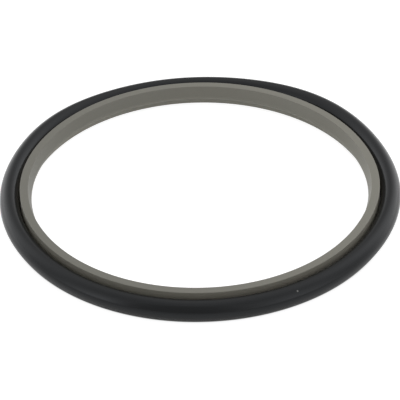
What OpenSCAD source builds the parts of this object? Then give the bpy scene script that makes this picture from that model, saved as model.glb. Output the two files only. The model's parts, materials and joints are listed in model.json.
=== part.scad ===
// Rod seal for a hydraulic cylinder: a stepped slide ring turned from filled
// PTFE, which an O-ring stretched around its outer wall presses on the rod.
// The axis is Z. Both rings lie on z = 0 with the pressure side down, and the
// side that faces the open air up. All sizes are in millimetres and degrees.

/* [Rod and groove] */
// Diameter of the rod, and of the land that wipes it
rod_d = 90; // [70:1:140]
// Width of the groove, along the rod
groove_w = 6.3; // [6:0.1:8]
// Play of the slide ring in the groove, along the rod
side_play = 0.4; // [0.2:0.05:0.6]

/* [Slide ring] */
// Thickness from the land to the outer wall
ring_t = 3; // [2.6:0.1:4]
// Height of the land's sharp lower edge, which holds the pressure back
lip_z = 2.4; // [1.9:0.05:2.6]
// Height of the land itself
land_h = 0.6; // [0.3:0.1:1]
// Angle between the rod and the step under the land
step_deg = 45; // [40:1:60]
// How far the step stands back from the rod at its foot
step_back = 1.3; // [0.8:0.1:1.4]
// Angle between the rod and the long taper above the land
taper_deg = 16; // [6:1:18]
// Chamfer on the two outer edges
outer_chamfer = 0.1; // [0.05:0.05:0.6]
// Break on the inner edge of each side face
edge_break = 0.08; // [0.04:0.02:0.1]

/* [O-ring] */
// Diameter of the rubber cord
cord_d = 5.33; // [5:0.01:5.7]
// Depth of the flat that the stretch presses into the cord
cord_flat = 0.03; // [0.01:0.01:0.08]

/* [Hidden] */
$fn = 180;

rod_r = rod_d / 2;
ring_h = groove_w - side_play;
wall_r = rod_r + ring_t;
step_r = rod_r + step_back;
step_z = lip_z - step_back / tan(step_deg);
taper_z = lip_z + land_h;
taper_r = rod_r + (ring_h - taper_z) * tan(taper_deg);
cord_r = cord_d / 2;
cord_mid_r = wall_r + cord_r - cord_flat;

// Half section of the slide ring, from the foot of the step up the side that
// faces the rod, across the top, and down the outer wall.
module slide_ring_section() {
    polygon([
        [step_r + edge_break, 0],
        [step_r, edge_break],
        [step_r, step_z],
        [rod_r, lip_z],
        [rod_r, taper_z],
        [taper_r, ring_h - edge_break],
        [taper_r + edge_break, ring_h],
        [wall_r - outer_chamfer, ring_h],
        [wall_r, ring_h - outer_chamfer],
        [wall_r, outer_chamfer],
        [wall_r - outer_chamfer, 0],
    ]);
}

// Half section of the O-ring: a round cord that rests on z = 0, flat where it
// grips the slide ring.
module o_ring_section() {
    difference() {
        translate([cord_mid_r, cord_r]) circle(r = cord_r);
        square([wall_r, cord_d]);
    }
}

module slide_ring() {
    color([0.49, 0.485, 0.465]) rotate_extrude() slide_ring_section();
}

module o_ring() {
    color([0.15, 0.16, 0.165]) rotate_extrude() o_ring_section();
}

slide_ring();
o_ring();
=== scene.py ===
import json
import math

import bpy
from mathutils import Matrix, Vector

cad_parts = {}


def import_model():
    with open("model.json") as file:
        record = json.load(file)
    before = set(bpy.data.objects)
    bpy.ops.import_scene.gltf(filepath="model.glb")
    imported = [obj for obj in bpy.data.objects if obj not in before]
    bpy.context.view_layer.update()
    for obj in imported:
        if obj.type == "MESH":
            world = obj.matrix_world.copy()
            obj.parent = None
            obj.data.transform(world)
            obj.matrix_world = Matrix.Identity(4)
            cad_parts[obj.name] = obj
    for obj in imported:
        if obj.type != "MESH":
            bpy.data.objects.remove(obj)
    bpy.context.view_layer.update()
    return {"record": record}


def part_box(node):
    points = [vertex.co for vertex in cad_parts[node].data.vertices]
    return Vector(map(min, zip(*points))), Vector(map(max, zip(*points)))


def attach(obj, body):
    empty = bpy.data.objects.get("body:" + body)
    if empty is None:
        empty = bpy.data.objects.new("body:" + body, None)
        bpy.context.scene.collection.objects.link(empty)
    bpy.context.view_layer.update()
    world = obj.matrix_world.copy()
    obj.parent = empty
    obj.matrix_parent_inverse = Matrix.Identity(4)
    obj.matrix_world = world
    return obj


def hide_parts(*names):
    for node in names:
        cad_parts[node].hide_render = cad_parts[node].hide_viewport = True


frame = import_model()

# A two-piece rod seal on a white table top in a light tent: a slide ring turned from filled PTFE,
# and the rubber O-ring that lies around it

MM = 0.001

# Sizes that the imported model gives, in metres
mounts = {m["name"]: m for m in frame["record"]["mounts"]}
ROD_R = mounts["rod_bore"]["dims"]["r_mm"] * MM
WALL_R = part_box("slide_ring")[1].x
RING_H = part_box("slide_ring")[1].z
CORD_OUT_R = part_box("o_ring")[1].x
CORD_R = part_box("o_ring")[1].z / 2
CORD_MID_R = CORD_OUT_R - CORD_R

# The slide ring's section: between which heights the land lies, how far the step under it stands
# back at its foot, the angle of the taper above it, the chamfers of the outer edges, and how far
# the edges are rounded
LAND_Z = (2.4 * MM, 3.0 * MM)
STEP_BACK = 1.3 * MM
TAPER = math.radians(16)
CHAMFER = 0.1 * MM
FOOT_EDGE = 0.27 * MM
SOFT_EDGE = 0.08 * MM
SHARP_EDGE = 0.04 * MM

# Where the rings aren't quite round, each by its bearing, half width and size. At a bulge both rings
# stand out, at a creep the O-ring has moved up and outwards, and where it is slack it stands further
# off the slide ring's wall than it does all around.
BULGES = (
    (math.radians(-2), math.radians(17), 0.28 * MM),
    (math.radians(178), math.radians(15), 0.06 * MM),
)
CREEPS = (
    (math.radians(48), math.radians(24), 0.68 * MM),
    (math.radians(140), math.radians(20), 0.43 * MM),
)
SLACKS = ((math.radians(5), math.radians(38), 0.17 * MM),)
CORD_PLAY = 0.2 * MM

# The seam that the mould leaves around the outside of the O-ring, how many steps each half of it is
# meshed in, and how many more steps of that size follow on either side
SEAM_HEIGHT = 0.012 * MM
SEAM_HALF_WIDTH = 0.07 * MM
SEAM_STEPS = 4
SEAM_BESIDE = 2

# How finely the rings are meshed, and how far beside a rounding its supporting points lie, in
# lengths of the rounding
TURNS = 720
CORD_POINTS = 84
EDGE_STEPS = 4
EDGE_SUPPORT = 1.6

# The camera, as measured from the outlines of both rings
PHOTO_PX = 400
SENSOR_MM = 36
CAMERA_DISTANCE = 672.6 * MM
CAMERA_TILT = math.radians(36.24)
CAMERA_ROLL = math.radians(-1.23)
FOCAL_PX = 2498.5
CENTRE_PX = (199.6, 199.31)


class Value:
    """A number that varies over a surface. Arithmetic on it adds Math nodes."""

    def __init__(self, finish, socket):
        self.finish = finish
        self.socket = socket

    def math(self, operation, *others):
        inputs = dict(enumerate((self, *others)))
        return self.finish.node("Math", {"operation": operation}, inputs)

    def __add__(self, other):
        return self.math("ADD", other)

    def __radd__(self, other):
        return self.math("ADD", other)

    def __sub__(self, other):
        return self.math("SUBTRACT", other)

    def __rsub__(self, other):
        return self.finish.node("Math", {"operation": "SUBTRACT"}, {0: other, 1: self})

    def __mul__(self, other):
        return self.math("MULTIPLY", other)

    def __rmul__(self, other):
        return self.math("MULTIPLY", other)

    def __truediv__(self, other):
        return self.math("DIVIDE", other)

    def __pow__(self, other):
        return self.math("POWER", other)

    def ease(self, low, high):
        """0 at low, 1 at high, smooth between them and level beyond."""
        settings = {"interpolation_type": "SMOOTHSTEP"}
        inputs = {"Value": self, "From Min": low, "From Max": high}
        return self.finish.node("MapRange", settings, inputs)


# The Mix node's sockets for colours, which have the same names as its sockets for numbers
MIX_A = 6
MIX_B = 7
MIX_RESULT = 2


class Finish:
    """A material or a world under construction."""

    def __init__(self, block):
        self.block = block
        block.use_nodes = True
        self.tree = block.node_tree
        self.tree.nodes.clear()

    def node(self, kind, settings=None, inputs=None, output=0):
        """Adds a node, makes its settings, fills its sockets, and gives one of its outputs."""
        made = self.tree.nodes.new("ShaderNode" + kind)
        for name, value in (settings or {}).items():
            setattr(made, name, value)
        for name, value in (inputs or {}).items():
            if isinstance(value, Value):
                self.tree.links.new(value.socket, made.inputs[name])
            else:
                made.inputs[name].default_value = value
        return Value(self, made.outputs[output]) if made.outputs else None

    def parts(self, vector):
        """A vector's X, Y and Z, and the length of its level part."""
        x, y, z = (self.node("SeparateXYZ", inputs={0: vector}, output=axis) for axis in "XYZ")
        return x, y, z, (x * x + y * y) ** 0.5

    def place(self):
        """Where a point is, in millimetres."""
        position = self.node("TexCoord", output="Object")
        return self.node("VectorMath", {"operation": "SCALE"}, {0: position, "Scale": 1 / MM})

    def measure(self, operation, a, b):
        """The dot product or the distance of two vectors."""
        return self.node("VectorMath", {"operation": operation}, {0: a, 1: b}, output="Value")

    def noise(self, vector, size, detail, roughness=0.5):
        """Noise from 0 to 1, whose patches are about size wide in the units of vector."""
        inputs = {"Vector": vector, "Scale": 1 / size, "Detail": detail, "Roughness": roughness}
        return self.node("TexNoise", inputs=inputs)

    def rings(self, across, size, detail):
        """Noise from 0 to 1 that changes only with the value across."""
        inputs = {"W": across, "Scale": 1 / size, "Detail": detail}
        return self.node("TexNoise", {"noise_dimensions": "1D"}, inputs)

    def mix(self, factor, a, b):
        """Colour a where factor is 0, and colour b where it is 1."""
        inputs = {"Factor": factor, MIX_A: a, MIX_B: b}
        return self.node("Mix", {"data_type": "RGBA"}, inputs, output=MIX_RESULT)

    def bump(self, height, distance, under=None):
        """The normal of a surface that stands up by distance where height is 1."""
        inputs = {"Height": height, "Distance": distance}
        if under:
            inputs["Normal"] = under
        return self.node("Bump", inputs=inputs)

    def principled(self, **sockets):
        """The shader of a solid surface. A space in a socket's name is written as _ here."""
        inputs = {name.replace("_", " "): value for name, value in sockets.items()}
        return self.node("BsdfPrincipled", inputs=inputs)

    def output(self, shader, kind="Material"):
        """Ends the work with this shader, and gives the finished material or world."""
        self.node("Output" + kind, inputs={"Surface": shader})
        return self.block


def rgb(red, green, blue):
    return (red, green, blue, 1.0)


WHITE = rgb(1, 1, 1)


# What noise gives on average
NOISE_MIDDLE = 0.5

# Filled PTFE, with the sizes and heights of its pattern in millimetres. Its tone is 0 for the
# darker colour and 1 for the lighter one. Painted light: one side of the ring is painted lighter
# than the other, for the stronger light that falls there. The way below points to that side, and
# its dot product with a place on the wall there, 48 mm out, is about 1.
PTFE_DARKER = rgb(0.174, 0.1655, 0.139)
PTFE_PALER = rgb(0.231, 0.2195, 0.184)
PTFE_SHADE = 0.5
PAINTED_LIGHT_WAY = (0.95 / 48, 0.3 / 48, 0)
PAINTED_LIGHT_SHARE = 0.45
CLOUD_SIZE = 9.0
CLOUD_SHARE = 0.2

# Painted light: the ring is painted lighter at the foot of its bore and on its wall behind the
# O-ring, where shade falls under the land and in the crevice: how much, between which heights that
# fades, and between which distances from the axis the wall begins
PTFE_PAINTED_LIGHT = rgb(0.33, 0.315, 0.265)
PAINTED_LIGHT_BORE = 0.9
PAINTED_LIGHT_BORE_HEIGHTS = (1.6, 3.4)
PAINTED_LIGHT_WALL = 0.45
PAINTED_LIGHT_WALL_HEIGHTS = (3.0, 6.5)
WALL_BEGINS = (47.8, 48.0)

# The filler's dark flecks and bright sparks
FLECK_COLOUR = rgb(0.13, 0.12, 0.1)
FLECK_SIZE = 0.16
FLECK_EDGES = (0.6, 0.74)
FLECK_SHARE = 0.35
SPARK_COLOUR = rgb(0.34, 0.3, 0.23)
SPARK_SIZE = 0.11
SPARK_EDGES = (0.72, 0.8)
SPARK_SHARE = 0.3

# The tool's rings. They follow the distance from the axis plus SLANT heights, so that the steep
# faces get them too. The chatter is wider, and the clouds bend it a little.
SLANT = 1.6
TOOL_SIZE = 0.07
CHATTER_SIZE = 0.5
CHATTER_BEND = 0.05
CHATTER_SHARE = 0.6
TOOL_HEIGHT = 0.004
PORE_SIZE = 0.09
PORE_HEIGHT = 0.002
PTFE_ROUGHNESS = 0.44
TOOL_ROUGHNESS = 0.1
CLOUD_ROUGHNESS = 0.06
PTFE_IOR = 1.5
PTFE_SHEEN = rgb(0.88, 1, 1.06)


def turned_ptfe():
    """Bronze-filled PTFE: waxy grey-brown with flecks, the tool's rings all over, and painted light on
    one side, at the foot of its bore and on its wall behind the O-ring.
    """
    finish = Finish(bpy.data.materials.new("turned_ptfe"))
    place = finish.place()
    _, _, height, radius = finish.parts(place)

    cloud = finish.noise(place, CLOUD_SIZE, detail=3)
    fleck = finish.noise(place, FLECK_SIZE, detail=1).ease(*FLECK_EDGES)
    spark = finish.noise(place, SPARK_SIZE, detail=0).ease(*SPARK_EDGES)
    # Painted light: lighter towards the side the light falls on, plus tone that differs at random
    painted_lit_side = finish.measure("DOT_PRODUCT", place, PAINTED_LIGHT_WAY)
    tone_and_painted_light = PTFE_SHADE + PAINTED_LIGHT_SHARE * painted_lit_side + CLOUD_SHARE * (cloud - NOISE_MIDDLE)
    base = finish.mix(tone_and_painted_light, PTFE_DARKER, PTFE_PALER)
    # Painted light on the shaded foot of the bore and on the shaded wall behind the O-ring
    base = finish.mix(PAINTED_LIGHT_BORE * (1 - height.ease(*PAINTED_LIGHT_BORE_HEIGHTS)), base, PTFE_PAINTED_LIGHT)
    behind = radius.ease(*WALL_BEGINS) * (1 - height.ease(*PAINTED_LIGHT_WALL_HEIGHTS))
    base = finish.mix(PAINTED_LIGHT_WALL * behind, base, PTFE_PAINTED_LIGHT)
    base = finish.mix(FLECK_SHARE * fleck, base, FLECK_COLOUR)
    base = finish.mix(SPARK_SHARE * spark, base, SPARK_COLOUR)

    across = radius + SLANT * height
    tool = finish.rings(across, TOOL_SIZE, detail=1)
    chatter = finish.rings(across + CHATTER_BEND * cloud, CHATTER_SIZE, detail=2)
    pores = finish.noise(place, PORE_SIZE, detail=2)
    normal = finish.bump(pores, PORE_HEIGHT * MM)
    normal = finish.bump(tool + CHATTER_SHARE * chatter, TOOL_HEIGHT * MM, normal)
    rough = PTFE_ROUGHNESS + TOOL_ROUGHNESS * tool + CLOUD_ROUGHNESS * cloud
    return finish.output(finish.principled(
        Base_Color=base, Roughness=rough, Normal=normal, IOR=PTFE_IOR, Specular_Tint=PTFE_SHEEN))


# Nitrile rubber, with the sizes and heights of its pattern in millimetres
RUBBER_DARKER = rgb(0.0078, 0.008, 0.0082)
RUBBER_PALER = rgb(0.0098, 0.01, 0.0102)
PATCH_SIZE = 14.0
PATCH_HEIGHT = 0.03
GRAIN_SIZE = 0.22
GRAIN_HEIGHT = 0.0025
RUBBER_ROUGHNESS = 0.2
PATCH_ROUGHNESS = 0.03
GRAIN_ROUGHNESS = 0.04
RUBBER_IOR = 1.38
RUBBER_SHEEN = rgb(0.96, 1, 1.05)

# Painted light: next to the slide ring, where the crevice lies in shade, the rubber is painted
# lighter and brownish, as painted light reflected off the slide ring's wall: between which
# distances from the axis that ends
CREVICE_PAINTED_LIGHT = rgb(0.09, 0.084, 0.074)
CREVICE_PAINTED_LIGHT_EDGES = (48.2, 49.4)

# A speck of pale dust on the O-ring, and between which distances from its middle it fades
DUST_COLOUR = rgb(0.2, 0.2, 0.19)
DUST_PLACE = (24.3, -46.6, 4.73)
DUST_EDGES = (0.15, 0.3)


def moulded_nitrile():
    """Black nitrile rubber: satin, a little uneven in sheen, with one speck of dust, and painted light
    in the crevice next to the slide ring.
    """
    finish = Finish(bpy.data.materials.new("moulded_nitrile"))
    place = finish.place()
    _, _, _, radius = finish.parts(place)

    patch = finish.noise(place, PATCH_SIZE, detail=2)
    grain = finish.noise(place, GRAIN_SIZE, detail=3, roughness=0.6)
    dust = 1 - finish.measure("DISTANCE", place, DUST_PLACE).ease(*DUST_EDGES)
    base = finish.mix(patch, RUBBER_DARKER, RUBBER_PALER)
    # Painted light: the rubber in the shaded crevice by the slide ring is painted lighter and brownish
    base = finish.mix(1 - radius.ease(*CREVICE_PAINTED_LIGHT_EDGES), base, CREVICE_PAINTED_LIGHT)
    base = finish.mix(dust, base, DUST_COLOUR)

    normal = finish.bump(patch, PATCH_HEIGHT * MM)
    normal = finish.bump(grain, GRAIN_HEIGHT * MM, normal)
    rough = RUBBER_ROUGHNESS + PATCH_ROUGHNESS * patch + GRAIN_ROUGHNESS * grain
    return finish.output(finish.principled(
        Base_Color=base, Roughness=rough, Normal=normal, IOR=RUBBER_IOR, Specular_Tint=RUBBER_SHEEN))


def rounded(corners):
    """A closed outline around corners, each with its radius, height and radius of rounding."""
    outline = []
    count = len(corners)
    for n, (r, z, edge) in enumerate(corners):
        corner = Vector((r, z))
        back = (Vector(corners[n - 1][:2]) - corner).normalized()
        on = (Vector(corners[(n + 1) % count][:2]) - corner).normalized()
        half = back.angle(on) / 2
        reach = edge / math.tan(half)
        middle = corner + (back + on).normalized() * (edge / math.sin(half))
        first = corner + back * reach - middle
        last = corner + on * reach - middle
        outline.append(corner + back * reach * EDGE_SUPPORT)
        for step in range(EDGE_STEPS + 1):
            outline.append(middle + first.slerp(last, step / EDGE_STEPS).normalized() * edge)
        outline.append(corner + on * reach * EDGE_SUPPORT)
    return [tuple(point) for point in outline]


def revolved(name, outline_at, material):
    """A ring from its outline at each bearing, which runs anticlockwise if the axis is at its left."""
    count = len(outline_at(0))
    points = []
    for turn in range(TURNS):
        angle = math.tau * turn / TURNS
        cos, sin = math.cos(angle), math.sin(angle)
        points += [(r * cos, r * sin, z) for r, z in outline_at(angle)]
    faces = []
    for turn in range(TURNS):
        here, there = turn * count, (turn + 1) % TURNS * count
        for n in range(count):
            after = (n + 1) % count
            faces.append((here + n, there + n, there + after, here + after))
    mesh = bpy.data.meshes.new(name)
    mesh.from_pydata(points, [], faces)
    mesh.polygons.foreach_set("use_smooth", [True] * len(faces))
    mesh.materials.append(material)
    piece = bpy.data.objects.new(name, mesh)
    bpy.context.collection.objects.link(piece)
    return piece


def swell(swells, bearing):
    """What bell-shaped swells, each with its bearing, half width and size, add up to at a bearing."""
    total = 0.0
    for middle, half_width, size in swells:
        off = math.remainder(bearing - middle, math.tau)
        total += size * math.exp(-((off / half_width) ** 2))
    return total


def slide_ring():
    """The step, the land and the taper face the rod; the outer wall carries the O-ring."""
    step_r = ROD_R + STEP_BACK
    taper_r = ROD_R + (RING_H - LAND_Z[1]) * math.tan(TAPER)
    corners = [
        (step_r, 0, FOOT_EDGE),
        (WALL_R - CHAMFER, 0, SHARP_EDGE),
        (WALL_R, CHAMFER, SHARP_EDGE),
        (WALL_R, RING_H - CHAMFER, SHARP_EDGE),
        (WALL_R - CHAMFER, RING_H, SHARP_EDGE),
        (taper_r, RING_H, SHARP_EDGE),
        (ROD_R, LAND_Z[1], SOFT_EDGE),
        (ROD_R, LAND_Z[0], SHARP_EDGE),
        (step_r, LAND_Z[0] - STEP_BACK, SOFT_EDGE),
    ]
    outline = rounded(corners)

    def outline_at(bearing):
        out = swell(BULGES, bearing)
        return [(r + out, z) for r, z in outline]

    piece = revolved("stepped_slide_ring", outline_at, turned_ptfe())
    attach(piece, "root")
    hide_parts("slide_ring")


def o_ring():
    """A round cord that lies around the slide ring, with the mould's seam around its outside."""
    seam_angle = SEAM_HALF_WIDTH / CORD_R
    last_step = SEAM_STEPS + SEAM_BESIDE
    angles = [math.tau * n / CORD_POINTS for n in range(1, CORD_POINTS)]
    angles += [seam_angle * step / SEAM_STEPS for step in range(-last_step, last_step + 1)]
    section = []
    for angle in sorted(angles):
        seam = SEAM_HEIGHT * max(0.0, 1 - (angle / seam_angle) ** 2)
        section.append(((CORD_R + seam) * math.cos(angle), CORD_R * math.sin(angle)))

    def outline_at(bearing):
        moved = swell(CREEPS, bearing)
        r = CORD_MID_R + CORD_PLAY + swell(BULGES + SLACKS, bearing) + moved
        z = CORD_R + moved
        return [(r + across, z + up) for across, up in section]

    piece = revolved("energiser_o_ring", outline_at, moulded_nitrile())
    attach(piece, "root")
    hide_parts("o_ring")


def camera():
    """The photograph's own view, from the front and above."""
    ahead = Vector((0, math.cos(CAMERA_TILT), -math.sin(CAMERA_TILT)))
    level = Vector((1, 0, 0))
    upward = level.cross(ahead)
    right = math.cos(CAMERA_ROLL) * level + math.sin(CAMERA_ROLL) * upward
    up = math.cos(CAMERA_ROLL) * upward - math.sin(CAMERA_ROLL) * level
    lens = bpy.data.cameras.new("camera")
    lens.sensor_width = SENSOR_MM
    lens.lens = FOCAL_PX / PHOTO_PX * SENSOR_MM
    lens.shift_x = 0.5 - CENTRE_PX[0] / PHOTO_PX
    lens.shift_y = CENTRE_PX[1] / PHOTO_PX - 0.5
    view = bpy.data.objects.new("camera", lens)
    bpy.context.collection.objects.link(view)
    turn = Matrix((right, up, -ahead)).transposed().to_4x4()
    view.matrix_world = Matrix.Translation(-CAMERA_DISTANCE * ahead) @ turn
    bpy.context.scene.camera = view


# The table top. It is lifted to white where it is seen, and a little less where a ring mirrors it.
# Each lift fades out between two distances from the axis inside the rings, in millimetres, and in
# again between two outside them, so that none is left under the rings.
FLOOR_SIDE = 5.0
FLOOR_LEVEL = -0.01 * MM
FLOOR_COLOUR = rgb(0.42, 0.42, 0.42)
SEEN_LIFT = 0.84
SEEN_INSIDE = (46.7, 47.1)
SEEN_OUTSIDE = (52.2, 52.6)
MIRRORED_LIFT = 0.6
MIRRORED_INSIDE = (45.0, 48.0)
MIRRORED_OUTSIDE = (51.0, 56.0)

# The mirrored table is brighter behind the rings, and dips further off in front of them: how much,
# between which sines of the bearing one goes over into the other, and between which distances from
# the axis the dip begins
BEHIND_LIFT = 0.3
BEHIND_EDGES = (-0.5, 0.15)
FRONT_DIP = 0.3
DIP_EDGES = (58.0, 75.0)

# The light tent: its brightness overhead, what its left and right sides and its corners add to
# that, how much more the far corners add than the near ones, what is missing at its foot, and what
# its hem gives back. The foot and the hem lie where a power of the direction's level part is near 1.
TENT_TOP = 0.64
TENT_SIDES = 0.45
TENT_CORNERS = 1.22
TENT_LEAN = 0.3
TENT_FOOT = -0.66
FOOT_POWER = 8
TENT_HEM = 0.31
HEM_POWER = 24

# The gap at the tent's front that the camera looks through: its brightness and bearing, between
# which cosines of the angle from its middle its sides fade, and between which level parts of the
# direction its top does
GAP_LEVEL = 0.41
GAP_BEARING = math.radians(255)
GAP_SIDES = (math.cos(math.radians(38)), math.cos(math.radians(15)))
GAP_TOP = (0.1, 0.4)

# The glows of the two lamps behind the cloth, each by the way to it, its brightness and sharpness
GLOWS = (
    ((0.369, 0.439, 0.819), 0.29, 6),
    ((-0.727, -0.655, 0.208), 0.39, 12),
)


def floor():
    """A white table top. It keeps the rings' shadow, and is lifted to white where it shows."""
    finish = Finish(bpy.data.materials.new("white_table"))
    board = finish.node("BsdfDiffuse", inputs={"Color": FLOOR_COLOUR})
    _, y, _, radius = finish.parts(finish.place())
    behind = (y / radius).ease(*BEHIND_EDGES)
    in_front = 1 - behind
    direct, glossy, through = (
        finish.node("LightPath", output=name)
        for name in ("Is Camera Ray", "Is Glossy Ray", "Is Transmission Ray"))
    seen = SEEN_LIFT * (1 - radius.ease(*SEEN_INSIDE) + radius.ease(*SEEN_OUTSIDE))
    clear = 1 - radius.ease(*MIRRORED_INSIDE) + radius.ease(*MIRRORED_OUTSIDE)
    dip = FRONT_DIP * in_front * radius.ease(*DIP_EDGES)
    mirrored = (MIRRORED_LIFT + BEHIND_LIFT * behind) * clear - dip
    lift = finish.node("Emission", inputs={"Strength": direct * seen + (glossy + through) * mirrored})
    white = finish.output(finish.node("AddShader", inputs={0: board, 1: lift}))
    half = FLOOR_SIDE / 2
    corners = [(-half, -half), (half, -half), (half, half), (-half, half)]
    mesh = bpy.data.meshes.new("table")
    mesh.from_pydata([(*corner, FLOOR_LEVEL) for corner in corners], [], [(0, 1, 2, 3)])
    mesh.materials.append(white)
    table = bpy.data.objects.new("table", mesh)
    bpy.context.collection.objects.link(table)


def world():
    """The inside of a light tent, whose cloth is lit from its four corners."""
    finish = Finish(bpy.data.worlds.new("light_tent"))
    toward = finish.node("TexCoord", output="Generated")
    x, y, _, level = finish.parts(toward)
    ahead = (math.cos(GAP_BEARING) * x + math.sin(GAP_BEARING) * y) / level
    gap = ahead.ease(*GAP_SIDES) * level.ease(*GAP_TOP)
    corner = 2 * x * y
    cloth = TENT_TOP + TENT_SIDES * x * x + TENT_CORNERS * (1 + TENT_LEAN * y) * corner * corner
    cloth = cloth + TENT_FOOT * level ** FOOT_POWER + TENT_HEM * level ** HEM_POWER
    for way, strength, sharpness in GLOWS:
        facing = finish.measure("DOT_PRODUCT", toward, way).math("MAXIMUM", 0)
        cloth = cloth + strength * facing ** sharpness
    seen = cloth + (GAP_LEVEL - cloth) * gap
    sky = finish.node("Background", inputs={"Color": WHITE, "Strength": seen})
    bpy.context.scene.world = finish.output(sky, "World")


def studio():
    """The light tent and the table top in it, with the colours shown as they are."""
    bpy.context.scene.view_settings.view_transform = "Standard"
    world()
    floor()


camera()
studio()
slide_ring()
o_ring()
